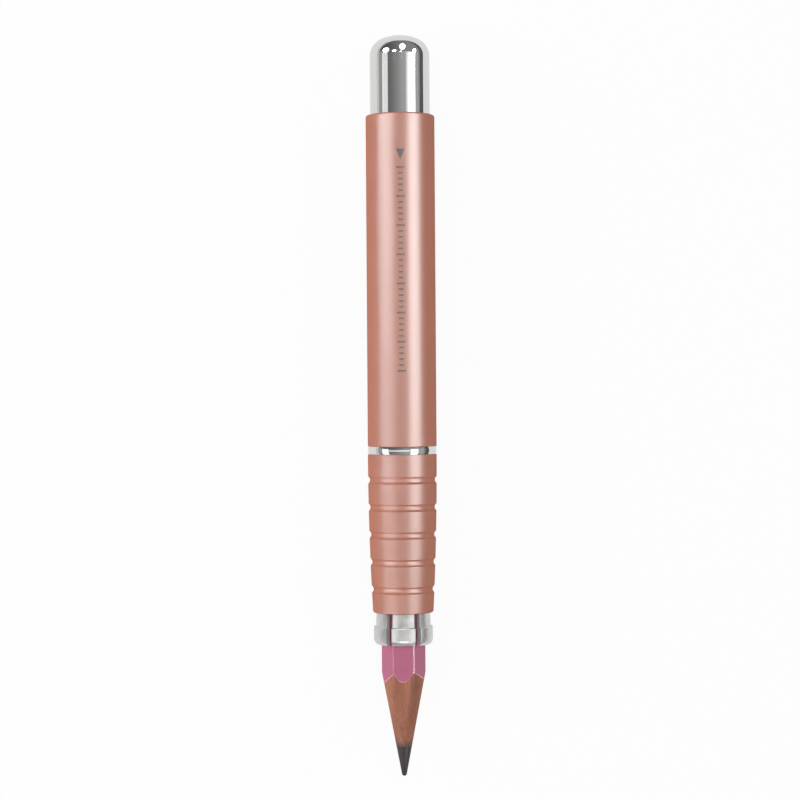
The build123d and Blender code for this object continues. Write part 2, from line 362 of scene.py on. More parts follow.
def shift(mesh, offset):
    """Moves a whole mesh."""
    bmesh.ops.translate(mesh, verts=mesh.verts[:], vec=offset)


def rotate(mesh, angle, axis):
    """Turns a whole mesh about an axis of the frame."""
    bmesh.ops.rotate(mesh, verts=mesh.verts[:], cent=(0, 0, 0), matrix=Matrix.Rotation(angle, 3, axis))


def resize(mesh, shares):
    """Scales a whole mesh from the origin."""
    bmesh.ops.scale(mesh, verts=mesh.verts[:], vec=shares)


def cleaned(mesh):
    """Merges doubles and turns all faces outwards."""
    bmesh.ops.remove_doubles(mesh, verts=mesh.verts[:], dist=TOUCHING)
    bmesh.ops.recalc_face_normals(mesh, faces=mesh.faces[:])
    return mesh


def cut(mesh, point, normal):
    """Takes off what lies beyond a plane and closes the cut."""
    sliced = bmesh.ops.bisect_plane(
        mesh,
        geom=mesh.verts[:] + mesh.edges[:] + mesh.faces[:],
        dist=ON_PLANE,
        plane_co=point,
        plane_no=normal,
        clear_outer=True,
    )
    edges = [item for item in sliced["geom_cut"] if isinstance(item, bmesh.types.BMEdge)]
    bmesh.ops.holes_fill(mesh, edges=edges, sides=0)


def made(name, mesh, *materials):
    """Puts an object of a mesh and its finishes into the scene."""
    data = bpy.data.meshes.new(name)
    mesh.to_mesh(data)
    mesh.free()
    for material in materials:
        data.materials.append(material)
    piece = bpy.data.objects.new(name, data)
    bpy.context.scene.collection.objects.link(piece)
    return piece


def settled(name, mesh, body, node, materials, sharp=30):
    """Makes a finished piece of a mesh on the axis, in its node's place, with edges sharp from an angle."""
    for face in mesh.faces:
        face.smooth = True
    for edge in mesh.edges:
        edge.smooth = edge.calc_face_angle(0) < radians(sharp)
    shift(mesh, AXIS)
    piece = made(name, mesh, *materials)
    even = piece.modifiers.new("Even shading", "WEIGHTED_NORMAL")
    even.keep_sharp = True
    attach(piece, body)
    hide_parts(node)
    return piece


class Wire:
    """A shader socket in a Python expression: each operator adds a Math node."""

    def __init__(self, shader, socket):
        self.shader = shader
        self.socket = socket

    def math(self, operation, *values):
        """The result of one Math node."""
        return self.shader.add("ShaderNodeMath", {"operation": operation}, dict(enumerate(values)))

    def __add__(self, other):
        return self.math("ADD", self, other)

    def __radd__(self, other):
        return self.math("ADD", other, self)

    def __sub__(self, other):
        return self.math("SUBTRACT", self, other)

    def __rsub__(self, other):
        return self.math("SUBTRACT", other, self)

    def __mul__(self, other):
        return self.math("MULTIPLY", self, other)

    def __rmul__(self, other):
        return self.math("MULTIPLY", other, self)

    def __truediv__(self, other):
        return self.math("DIVIDE", self, other)

    def __rtruediv__(self, other):
        return self.math("DIVIDE", other, self)

    def __abs__(self):
        return self.math("ABSOLUTE", self)

    def __lt__(self, other):
        return self.math("LESS_THAN", self, other)

    def __gt__(self, other):
        return self.math("GREATER_THAN", self, other)

    def nearest(self):
        """The nearest whole number."""
        return self.math("ROUND", self)

    def out(self, name):
        """Another output of the same node."""
        return Wire(self.shader, self.socket.node.outputs[name])


class Shader:
    """The nodes of one material or world."""

    def __init__(self, owner):
        owner.use_nodes = True
        self.owner = owner
        self.tree = owner.node_tree
        self.tree.nodes.clear()

    def add(self, kind, settings=None, sockets=None, out=0):
        """A node of a type, with its settings made first and then its sockets filled or linked."""
        node = self.tree.nodes.new(kind)
        for name, value in (settings or {}).items():
            if name == "stops":
                for position, shade in value:
                    stop = node.color_ramp.elements.new(position)
                    stop.color = (*shade, 1)
                node.color_ramp.elements.remove(node.color_ramp.elements[0])
                node.color_ramp.elements.remove(node.color_ramp.elements[-1])
            else:
                setattr(node, name, value)
        for key, value in (sockets or {}).items():
            self.feed(node.inputs[key], value)
        return Wire(self, node.outputs[out]) if node.outputs else node

    def feed(self, socket, value):
        """Links a wire to a socket, or sets a plain value on it."""
        if isinstance(value, Wire):
            self.tree.links.new(value.socket, socket)
        elif socket.type == "RGBA":
            socket.default_value = (*value, 1)
        else:
            socket.default_value = value

    def where(self):
        """Object coordinates."""
        return self.add("ShaderNodeTexCoord", out="Object")

    def axes(self, vector):
        """The x, y and z of a vector."""
        x = self.add("ShaderNodeSeparateXYZ", None, {"Vector": vector}, out="X")
        return x, x.out("Y"), x.out("Z")

    def noise(self, vector, scale, detail=3, roughness=0.5):
        """Noise from about 0 to 1."""
        sockets = {"Vector": vector, "Scale": scale, "Detail": detail, "Roughness": roughness}
        return self.add("ShaderNodeTexNoise", None, sockets)

    def streaks(self, vector, scales, detail, roughness=0.5):
        """Noise drawn out along the axes, with a scale for each."""
        drawn = self.add("ShaderNodeMapping", None, {"Vector": vector, "Scale": scales})
        return self.noise(drawn, 1, detail, roughness)

    def rise(self, value, low, high, start=0.0, end=1.0):
        """A soft step from one value to another."""
        sockets = {"Value": value, "From Min": low, "From Max": high, "To Min": start, "To Max": end}
        return self.add("ShaderNodeMapRange", {"interpolation_type": "SMOOTHSTEP"}, sockets)

    def blended(self, factor, first, second, kind="MIX"):
        """Two colours mixed."""
        settings = {"data_type": "RGBA", "blend_type": kind}
        return self.add("ShaderNodeMix", settings, {0: factor, 6: first, 7: second}, out=2)

    def bump(self, height, depth, strength=1.0):
        """A normal from a height, with the depth in metres."""
        return self.add("ShaderNodeBump", None, {"Height": height, "Distance": depth, "Strength": strength})

    def mixed(self, factor, first, second):
        """Two shaders mixed."""
        return self.add("ShaderNodeMixShader", None, {0: factor, 1: first, 2: second})

    def coat(self, **sockets):
        """A Principled shader, from sockets named with underscores."""
        named = {}
        for key, value in sockets.items():
            named[key.replace("_", " ").title().replace("Ior", "IOR")] = value
        return self.add("ShaderNodeBsdfPrincipled", None, named)

    def finished(self, surface, kind="Material"):
        """Sends a shader to the output of the material or world, and gives that back."""
        self.add(f"ShaderNodeOutput{kind}", None, {"Surface": surface})
        return self.owner

    def surface(self, **sockets):
        """A material of one Principled shader."""
        return self.finished(self.coat(**sockets))


def scale_print(shader, point, mark):
    """Mask of the printed arrow and scale along the top of the barrel."""
    x, y, z = shader.axes(point)
    aside = abs(y)
    along = (mark.arrow_end - x) / mark.arrow_length
    arrow = (along > 0) * (along < 1) * (aside < (1 - along) * (mark.arrow_width / 2))
    step = (mark.scale_end - x) / mark.pitch
    near = abs(step - step.nearest()) < mark.line / mark.pitch / 2
    fifth = step / 5
    major = abs(fifth - fifth.nearest()) < 0.1
    reach = major * (mark.long / 2 - mark.short / 2) + mark.short / 2
    count = mark.scale_length / mark.pitch
    scale = near * (step > -0.5) * (step < count + 0.5) * (aside < reach)
    return (arrow + scale) * (z > AXIS.z)


def rose_material(settings, name, printed):
    """Satin anodised aluminium, with the printed scale on the barrel."""
    shader = Shader(bpy.data.materials.new(name))
    tint = settings.colours.rose
    point = shader.where()
    cloud = shader.noise(point, scale=260, detail=3)
    turned = shader.streaks(point, scales=(5200, 700, 700), detail=2)
    grain = shader.noise(point, scale=7000, detail=2)
    tone = shader.blended(cloud, shaded(tint, 0.95), shaded(tint, 1.05))
    # Sparse bright specks, up to a tenth towards a paler tint: painted sparkle of the satin grain
    tone = shader.blended(shader.rise(grain, 0.62, 0.8, 0, 0.10), tone, shaded(tint, 1.7))
    rough = 0.30 + 0.05 * cloud + 0.04 * turned
    if printed:
        mask = scale_print(shader, point, settings.mark)
        tone = shader.blended(mask * 0.93, tone, settings.colours.ink)
        rough = rough + mask * 0.14
    normal = shader.bump(grain * 0.7 + turned * 0.3, depth=0.004 * MM, strength=0.5)
    dyed = shader.coat(base_color=tone, roughness=rough, specular_ior_level=0.0, normal=normal)
    metal = shader.coat(base_color=(1, 1, 1), roughness=rough, metallic=1.0, normal=normal)
    return shader.finished(shader.mixed(settings.colours.sheen, dyed, metal))


def chrome_material(settings):
    """Polished plate with faint smudges."""
    shader = Shader(bpy.data.materials.new("Polished plate"))
    tint = settings.colours.chrome
    point = shader.where()
    smudge = shader.rise(shader.noise(point, scale=210, detail=4, roughness=0.6), 0.45, 0.75)
    hair = shader.streaks(point, scales=(260, 9000, 9000), detail=2)
    tone = shader.blended(smudge, tint, shaded(tint, 0.96))
    rough = 0.035 + 0.035 * smudge + 0.02 * hair
    normal = shader.bump(shader.noise(point, scale=160, detail=2), depth=0.004 * MM, strength=0.4)
    return shader.surface(base_color=tone, roughness=rough, metallic=1.0, normal=normal)


def plate_material(settings):
    """Barrel-plated jaws: satin, a little mottled, darker in the grain."""
    shader = Shader(bpy.data.materials.new("Satin plate"))
    tint = settings.colours.plate
    point = shader.where()
    mottle = shader.noise(point, scale=850, detail=4, roughness=0.6)
    pits = shader.rise(shader.noise(point, scale=2600, detail=2), 0.62, 0.78)
    tone = shader.blended(shader.rise(mottle, 0.3, 0.7), shaded(tint, 0.88), shaded(tint, 1.06))
    tone = shader.blended(pits * 0.35, tone, shaded(tint, 0.6))
    rough = 0.3 + 0.14 * mottle + 0.12 * pits
    normal = shader.bump(mottle - 0.5 * pits, depth=0.02 * MM, strength=0.5)
    return shader.surface(base_color=tone, roughness=rough, metallic=1.0, normal=normal)


def worn_material(settings):
    """Edges of the jaws, rubbed bright through the plating."""
    shader = Shader(bpy.data.materials.new("Worn plate"))
    tint = settings.colours.worn
    rub = shader.noise(shader.where(), scale=1600, detail=3)
    tone = shader.blended(rub, shaded(tint, 0.9), tint)
    normal = shader.bump(rub, depth=0.01 * MM, strength=0.5)
    return shader.surface(base_color=tone, roughness=0.24 + 0.16 * rub, metallic=1.0, normal=normal)


def sawn_material(settings):
    """Dull, unplated walls of the slots, with the saw's fine lines."""
    shader = Shader(bpy.data.materials.new("Sawn slot"))
    tint = settings.colours.sawn
    point = shader.where()
    line = shader.streaks(point, scales=(900, 5200, 5200), detail=3)
    tone = shader.blended(line, shaded(tint, 0.7), shaded(tint, 1.3))
    normal = shader.bump(line, depth=0.015 * MM, strength=0.6)
    return shader.surface(base_color=tone, roughness=0.5 + 0.2 * line, metallic=0.3, normal=normal)


def lacquer_material(settings):
    """Dipped lacquer over wood, with the wood's grain faintly showing and painted shade on the corners in
    the jaws' slots.
    """
    shader = Shader(bpy.data.materials.new("Pink lacquer"))
    tint = settings.colours.lacquer
    point = shader.where()
    cloud = shader.noise(point, scale=500, detail=3)
    grain = shader.streaks(point, scales=(260, 3600, 3600), detail=3)
    speck = shader.rise(shader.noise(point, scale=5200, detail=1), 0.7, 0.8)
    tone = shader.blended(cloud, shaded(tint, 0.93), shaded(tint, 1.07))
    tone = shader.blended(speck * 0.3, tone, shaded(tint, 1.4))
    x, aside, height = shader.axes(point)
    above = height - AXIS.z
    flat = settings.pencil.flats / 2
    jaws = front("collet_jaw_4")
    mouth = front("lower_grip")
    # Painted shade, patchy, on the corners that lie in the slots between the jaws, from just behind the
    # jaws' front back to the grip's mouth
    corner = shader.rise(aside * aside + above * above, (flat + 0.02 * MM) ** 2, (flat + 0.3 * MM) ** 2)
    begun = shader.rise(x, jaws, jaws + 1.5 * MM)
    ended = shader.rise(x, mouth - 0.5 * MM, mouth + 2 * MM, 1, 0)
    painted_slot_shade = corner * (begun * ended) * shader.rise(grain + cloud, 0.7, 1.3, 0.2, 0.5)
    tone = shader.blended(painted_slot_shade, tone, shaded(tint, 0.2))
    rough = 0.3 + 0.12 * grain
    normal = shader.bump(grain * 0.7 + cloud * 0.3, depth=0.012 * MM, strength=0.6)
    return shader.surface(
        base_color=tone, roughness=rough, ior=1.3, coat_weight=0.2, coat_roughness=0.12, normal=normal
    )


def primer_material(settings):
    """The cut edge of the lacquer, where the pale first coats show."""
    shader = Shader(bpy.data.materials.new("Cut lacquer edge"))
    tint = settings.colours.primer
    point = shader.where()
    nick = shader.noise(point, scale=3500, detail=2)
    tone = shader.blended(nick, shaded(tint, 0.8), shaded(tint, 1.1))
    normal = shader.bump(nick, depth=0.02 * MM, strength=0.6)
    return shader.surface(base_color=tone, roughness=0.45 + 0.2 * nick, normal=normal)


def cedar_material(settings, name, shade):
    """Sharpened wood: fibres along the pencil, pores, the blade's traces and smeared lead, with a painted
    shade over the whole slat.
    """
    shader = Shader(bpy.data.materials.new(name))
    colours = settings.colours
    pencil = settings.pencil
    point = shader.where()
    ring = shader.streaks(point, scales=(40, 520, 520), detail=2)
    fibre = shader.streaks(point, scales=(300, 5200, 5200), detail=4, roughness=0.6)
    pore = shader.streaks(point, scales=(420, 6500, 6500), detail=1)
    pore = shader.rise(pore, 0.64, 0.74)
    trace = shader.streaks(point, scales=(6000, 300, 300), detail=2)
    # shade scales the whole slat's colour: painted shade, not a difference in the wood
    light = shaded(colours.wood_light, shade)
    dark = shaded(colours.wood_dark, shade)
    tone = shader.blended(shader.rise(ring * 0.55 + fibre * 0.45, 0.36, 0.64), dark, light)
    tone = shader.blended(pore * 0.55, tone, shaded(dark, 0.45))
    lead_edge = on_cone(pencil, pencil.lead)
    ragged = shader.axes(point)[0] + (fibre - 0.5) * (2.4 * MM)
    smear = shader.rise(ragged, lead_edge - 0.2 * MM, lead_edge + 1.8 * MM, 1, 0)
    tone = shader.blended(smear * 0.85, tone, colours.graphite)
    rough = 0.62 + 0.16 * fibre - 0.14 * smear
    normal = shader.bump(fibre * 0.6 + trace * 0.4 - pore * 0.5, depth=0.03 * MM, strength=0.6)
    return shader.surface(base_color=tone, roughness=rough, normal=normal)


def graphite_material(settings):
    """Sharpened lead with the blade's rings and burnished spots."""
    shader = Shader(bpy.data.materials.new("Graphite"))
    tint = settings.colours.graphite
    point = shader.where()
    ring = shader.streaks(point, scales=(5200, 500, 500), detail=3)
    spot = shader.noise(point, scale=2400, detail=3)
    tone = shader.blended(spot, shaded(tint, 0.72), shaded(tint, 1.35))
    rough = 0.34 + 0.2 * spot
    normal = shader.bump(ring * 0.6 + spot * 0.4, depth=0.025 * MM, strength=0.6)
    return shader.surface(base_color=tone, roughness=rough, metallic=0.25, normal=normal)


def turned_material(name, tint, metallic, rough):
    """Turned or drawn stock: fine rings and a cloudy tone."""
    shader = Shader(bpy.data.materials.new(name))
    point = shader.where()
    ring = shader.streaks(point, scales=(4200, 260, 260), detail=3)
    cloud = shader.noise(point, scale=420, detail=3)
    tone = shader.blended(cloud, shaded(tint, 0.86), shaded(tint, 1.1))
    normal = shader.bump(ring, depth=0.012 * MM, strength=0.5)
    return shader.surface(base_color=tone, roughness=rough + 0.14 * cloud, metallic=metallic, normal=normal)


class ShellOperator(bpy.types.Operator):
    """Models barrel, band and grip"""

    bl_idname = "extender.shell"
    bl_label = "Barrel, Band and Grip"

    def execute(self, context):
        settings = context.scene.extender
        shell = settings.shell
        self.barrel(shell, rose_material(settings, "Printed rose anodising", True))
        self.band(shell, chrome_material(settings))
        self.grip(shell, rose_material(settings, "Rose anodising", False))
        return {"FINISHED"}

    def barrel(self, shell, material):
        """Plain tube with a rounded rim."""
        start = front("upper_barrel")
        end = back("upper_barrel")
        outline = Outline(start, shell.bore)
        outline.line(start, shell.radius, shell.edge)
        outline.line(end, shell.radius, shell.rim, segments=10)
        outline.line(end, shell.bore, shell.edge)
        mesh = outline.closed().rounded().lathed()
        settled("barrel", mesh, "barrel", "upper_barrel", [material])

    def band(self, shell, material):
        """Crowned ring."""
        start = front("centre_band")
        end = back("centre_band")
        half = (end - start) / 2
        crest = shell.radius - shell.band_recess
        sweep = (half**2 + shell.band_crown**2) / (2 * shell.band_crown)
        outline = Outline(start, shell.bore)
        outline.line(start, crest - shell.band_crown)
        outline.arc((start + end) / 2, crest - sweep, -2 * asin(half / sweep), steps=24)
        outline.line(end, shell.bore)
        mesh = outline.closed().lathed()
        settled("band", mesh, "barrel", "centre_band", [material])

    def grip(self, shell, material):
        """Tapering grip: drawn straight with its grooves, then drawn in towards the mouth."""
        mouth = front("lower_grip")
        end = back("lower_grip")
        sleeve = front("joint_sleeve")
        seat_end = mouth + shell.seat_length
        seat_bore = shell.mouth_bore - shell.seat_length * tan(shell.seat_taper)
        reach = shell.groove_radius + shell.groove_edge
        edge_turn = acos((reach - shell.groove_depth) / reach)
        half = reach * sin(edge_turn)
        tool = shell.radius + shell.groove_radius - shell.groove_depth
        outline = Outline(mouth, shell.mouth_bore)
        outline.line(mouth, shell.radius, shell.mouth_rounding, segments=8)
        for index in range(shell.grooves):
            middle = mouth + shell.groove_first + index * shell.groove_pitch
            outline.line(middle - half, shell.radius)
            outline.arc(middle - half, shell.radius - shell.groove_edge, -edge_turn, steps=6)
            outline.arc(middle, tool, 2 * edge_turn, steps=14)
            outline.arc(middle + half, shell.radius - shell.groove_edge, -edge_turn, steps=6)
        outline.line(end, shell.radius, shell.edge)
        outline.line(end, shell.bore)
        outline.line(sleeve, shell.bore)
        outline.line(sleeve, shell.guide)
        outline.line(mouth + shell.stop, shell.guide)
        outline.line(mouth + shell.stop, shell.front_bore)
        outline.line(seat_end, shell.front_bore)
        outline.line(seat_end, seat_bore)
        outline.closed().rounded()
        fall = shell.radius - shell.mouth
        sweep = ((end - mouth) ** 2 + fall**2) / (2 * fall)
        # Only the outside is drawn in; the bores stay straight
        inner = shell.bore + 0.1 * MM
        for point in outline.mesh.verts:
            if point.co.z > inner:
                point.co.z -= sweep - sqrt(sweep**2 - (end - point.co.x) ** 2)
        settled("grip", outline.lathed(), "barrel", "lower_grip", [material])


class CapOperator(bpy.types.Operator):
    """Models the push cap"""

    bl_idname = "extender.cap"
    bl_label = "Push Cap"

    def execute(self, context):
        settings = context.scene.extender
        cap = settings.cap
        start = front("push_cap")
        end = back("push_cap")
        crown = end - cap.crown
        across = cap.radius - cap.corner
        side = crown + sqrt((cap.crown - cap.corner) ** 2 - across**2)
        lean = atan2(side - crown, across)
        outline = Outline(end - cap.wall, 0)
        outline.arc(crown, 0, pi / 2 - lean, steps=10)
        outline.arc(side, across, lean, steps=14)
        outline.line(start, cap.radius - cap.wall)
        outline.line(start, cap.radius, cap.edge)
        outline.line(side, cap.radius)
        outline.arc(side, across, -lean, steps=28)
        outline.arc(crown, 0, lean - pi / 2, steps=14)
        mesh = outline.rounded().lathed()
        settled("cap", mesh, "plunger", "push_cap", [chrome_material(settings)])
        return {"FINISHED"}


class ColletOperator(bpy.types.Operator):
    """Models the six jaws of the collet"""

    bl_idname = "extender.collet"
    bl_label = "Collet Jaws"
    # Places of the finishes on a jaw, after the plate
    SAWN = 1
    WORN = 2

    def execute(self, context):
        settings = context.scene.extender
        finishes = (plate_material(settings), sawn_material(settings), worn_material(settings))
        pattern = self.jaw(settings.collet)
        for index in range(JAWS):
            name = f"jaw_{index + 1}"
            mesh = pattern.copy()
            rotate(mesh, radians(180 + 360 // JAWS * index), "X")
            settled(name, mesh, name, f"collet_{name}", finishes, sharp=25)
        pattern.free()
        return {"FINISHED"}

    def jaw(self, collet):
        """The upward jaw: a turned collet cut by the pencil's flat and by two slots."""
        head = front("collet_jaw_4")
        root = back("collet_jaw_4")
        shoulder = head + collet.collar_length
        mouth = front("lower_grip")
        slope = tan(collet.taper)
        outline = Outline(head, 0)
        outline.line(head, collet.collar, collet.front_rounding, segments=12)
        outline.line(shoulder, collet.collar, collet.back_rounding, segments=6)
        outline.line(shoulder, collet.neck + (mouth - shoulder) * slope, collet.neck_rounding, segments=4)
        outline.line(mouth + (collet.neck - collet.shank) / slope, collet.shank)
        outline.line(root, collet.shank)
        outline.line(root, 0)
        mesh = outline.rounded().lathed(steps=96)
        cut(mesh, (0, 0, collet.flat), (0, 0, -1))
        walls = [Vector((0, side * cos(pi / 6), -sin(pi / 6))) for side in (-1, 1)]
        for normal in walls:
            cut(mesh, normal * (-collet.slot / 2), normal)
        cleaned(mesh)
        # Faces that look the same way as a slot's wall
        for face in mesh.faces:
            if max(face.normal.dot(normal) for normal in walls) > 0.999:
                face.material_index = self.SAWN
        edges = [edge for edge in mesh.edges if edge.calc_face_angle(0) > radians(35)]
        for face in rounded_off(mesh, edges, collet.burr, segments=2, affect="EDGES")["faces"]:
            face.material_index = self.WORN
        return cleaned(mesh)


def hexagon(pencil, x, share=1):
    """A hexagonal wire across the axis, flat side up, with rounded corners and divided flats."""
    mesh = bmesh.new()
    bmesh.ops.create_circle(mesh, cap_ends=False, segments=6, radius=pencil.flats / sqrt(3))
    rounded_off(mesh, mesh.verts[:], pencil.corner * tan(pi / 6), 8, "VERTICES", "ABSOLUTE")
    runs = [edge for edge in mesh.edges if edge.calc_length() > pencil.corner]
    bmesh.ops.subdivide_edges(mesh, edges=runs, cuts=23)
    rotate(mesh, pi / 2, "Y")
    resize(mesh, (1, share, share))
    shift(mesh, (x, 0, 0))
    return mesh


def drawn_out(mesh, edges):
    """Extrudes a ring of edges in place; the new ring's vertices and edges."""
    grown = bmesh.ops.extrude_edge_only(mesh, edges=edges)["geom"]
    points = [item for item in grown if isinstance(item, bmesh.types.BMVert)]
    known = set(points)
    ring = [item for item in grown if isinstance(item, bmesh.types.BMEdge) and set(item.verts) <= known]
    return points, ring


def brought_back(mesh, ring, first, end):
    """Draws a ring back through the tube to its end and joins it to the first one."""
    points, ring = drawn_out(mesh, ring)
    for point in points:
        point.co.x = end
    bmesh.ops.bridge_loops(mesh, edges=ring + first)
    return cleaned(mesh)


class PencilOperator(bpy.types.Operator):
    """Models the sharpened pencil: lacquer, two slats and lead"""

    bl_idname = "extender.pencil"
    bl_label = "Pencil"

    def execute(self, context):
        settings = context.scene.extender
        pencil = settings.pencil
        self.lacquer(pencil, settings)
        self.slats(pencil, settings)
        self.lead(pencil, settings)
        return {"FINISHED"}

    def cone(self, pencil, points):
        """Moves points along the pencil on to the sharpener's cone."""
        for point in points:
            point.co.x = on_cone(pencil, hypot(point.co.y, point.co.z))

    def scalloped(self, pencil, point, peak):
        """Where the lacquer ends: scallops above and below, and smeared down the cone on both sides."""
        clean = on_cone(pencil, hypot(point.y, point.z))
        aside = abs(atan2(point.y, point.z))
        # The two facets on each side lie from 30 to 150 degrees off the top
        if pi / 6 < aside < 5 * pi / 6:
            fall = pencil.side_scallop * (1 - abs(aside - pi / 2) / (pi / 3))
        else:
            fall = (peak - clean) * pencil.scallop
        return max(peak - fall - point.y * pencil.scallop_slant, front("pencil_lacquer"))

    def lacquer(self, pencil, settings):
        """Hexagonal skin, cut by the sharpener and drawn a little way down its cone."""
        end = back("pencil_lacquer")
        core = wood_share(pencil)
        mesh = hexagon(pencil, end)
        first = mesh.edges[:]
        points, ring = drawn_out(mesh, first)
        self.cone(pencil, points)
        peak = max(point.co.x for point in points)
        for point in points:
            point.co.x = max(point.co.x, self.scalloped(pencil, point.co, peak))
        points, ring = drawn_out(mesh, ring)
        for point in points:
            edge = self.scalloped(pencil, point.co, peak)
            proud = (edge - cone_apex(pencil)) * tan(pencil.half_angle) + pencil.smear
            inwards = min(1, proud / hypot(point.co.y, point.co.z))
            point.co = (edge, point.co.y * inwards, point.co.z * inwards)
        skin = set(mesh.faces)
        points, ring = drawn_out(mesh, ring)
        bmesh.ops.scale(mesh, verts=points, vec=(1, core, core))
        bmesh.ops.translate(mesh, verts=points, vec=(-pencil.cut_edge, 0, 0))
        for face in mesh.faces:
            if face not in skin:
                face.material_index = 1
        brought_back(mesh, ring, first, end)
        finishes = (lacquer_material(settings), primer_material(settings))
        settled("lacquer", mesh, "pencil", "pencil_lacquer", finishes, sharp=9)

    def slats(self, pencil, settings):
        """The wooden casing, split at its glued seam."""
        end = back("pencil_upper_slat")
        mesh = hexagon(pencil, end, wood_share(pencil))
        first = mesh.edges[:]
        points, ring = drawn_out(mesh, first)
        self.cone(pencil, points)
        points, ring = drawn_out(mesh, ring)
        for point in points:
            inwards = pencil.lead / hypot(point.co.y, point.co.z)
            point.co.y *= inwards
            point.co.z *= inwards
        self.cone(pencil, points)
        brought_back(mesh, ring, first, end)
        normal = Vector((0, cos(pencil.seam), sin(pencil.seam)))
        # The lower slat, on the side away from the side lamp, is a tenth darker: painted shade, not a
        # different wood
        for name, side, shade in (("upper", -1, 1.0), ("lower", 1, 0.9)):
            half = mesh.copy()
            cut(half, (0, 0, 0), normal * side)
            wood = cedar_material(settings, f"Cedar, {name} slat", shade)
            settled(f"{name}_slat", cleaned(half), "pencil", f"pencil_{name}_slat", [wood], sharp=9)
        mesh.free()

    def lead(self, pencil, settings):
        """Graphite rod with a blunted point."""
        tip = front("pencil_lead")
        end = back("pencil_lead")
        outline = Outline(tip, 0)
        outline.arc(tip + pencil.tip, 0, pencil.half_angle - pi / 2, steps=10)
        outline.line(on_cone(pencil, pencil.lead), pencil.lead)
        outline.line(end, pencil.lead)
        outline.line(end, 0)
        mesh = outline.lathed(steps=64)
        settled("lead", mesh, "pencil", "pencil_lead", [graphite_material(settings)], sharp=20)


class SpringOperator(bpy.types.Operator):
    """Models the return spring"""

    bl_idname = "extender.spring"
    bl_label = "Return Spring"
    STEPS_A_TURN = 40

    def execute(self, context):
        settings = context.scene.extender
        spring = settings.spring
        start = back("joint_sleeve")
        end = front("push_cap")
        steps = self.STEPS_A_TURN * spring.turns
        mesh = bmesh.new()
        bmesh.ops.create_circle(mesh, cap_ends=False, segments=12, radius=spring.wire / 2)
        rotate(mesh, pi / 2, "X")
        shift(mesh, (start, 0, spring.radius))
        bmesh.ops.spin(
            mesh,
            geom=mesh.verts[:] + mesh.edges[:],
            cent=(0, 0, 0),
            axis=(1, 0, 0),
            dvec=((end - start) / steps, 0, 0),
            angle=2 * pi * spring.turns,
            steps=steps,
        )
        bmesh.ops.holes_fill(mesh, edges=mesh.edges[:], sides=0)
        cleaned(mesh)
        cut(mesh, (start, 0, 0), (-1, 0, 0))
        cut(mesh, (end, 0, 0), (1, 0, 0))
        material = turned_material("Spring wire", settings.colours.steel, 1.0, 0.24)
        piece = settled("spring", cleaned(mesh), "barrel", "return_spring", [material])
        stroke = next(joint for joint in frame["joints"] if joint["name"] == "plunger_push")
        travel = max(stroke["range_m"])
        1 - travel / (end - start)
        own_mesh(piece)
        return {"FINISHED"}


class InnerOperator(bpy.types.Operator):
    """Finishes the inner pieces that keep their plain turned shapes"""

    bl_idname = "extender.inner"
    bl_label = "Inner Pieces"

    def execute(self, context):
        colours = context.scene.extender.colours
        brass = turned_material("Turned brass", colours.brass, 1.0, 0.26)
        steel = turned_material("Drawn tube", colours.steel, 1.0, 0.3)
        plastic = turned_material("Moulded plastic", colours.plastic, 0.0, 0.45)
        finishes = {
            "joint_sleeve": brass,
            "collet_coupling": brass,
            "collet_tail": plate_material(context.scene.extender),
            "pencil_tube": steel,
            "cap_core": plastic,
        }
        for node, material in finishes.items():
            data = frame["nodes"][node].data
            data.materials.clear()
            data.materials.append(material)
        return {"FINISHED"}


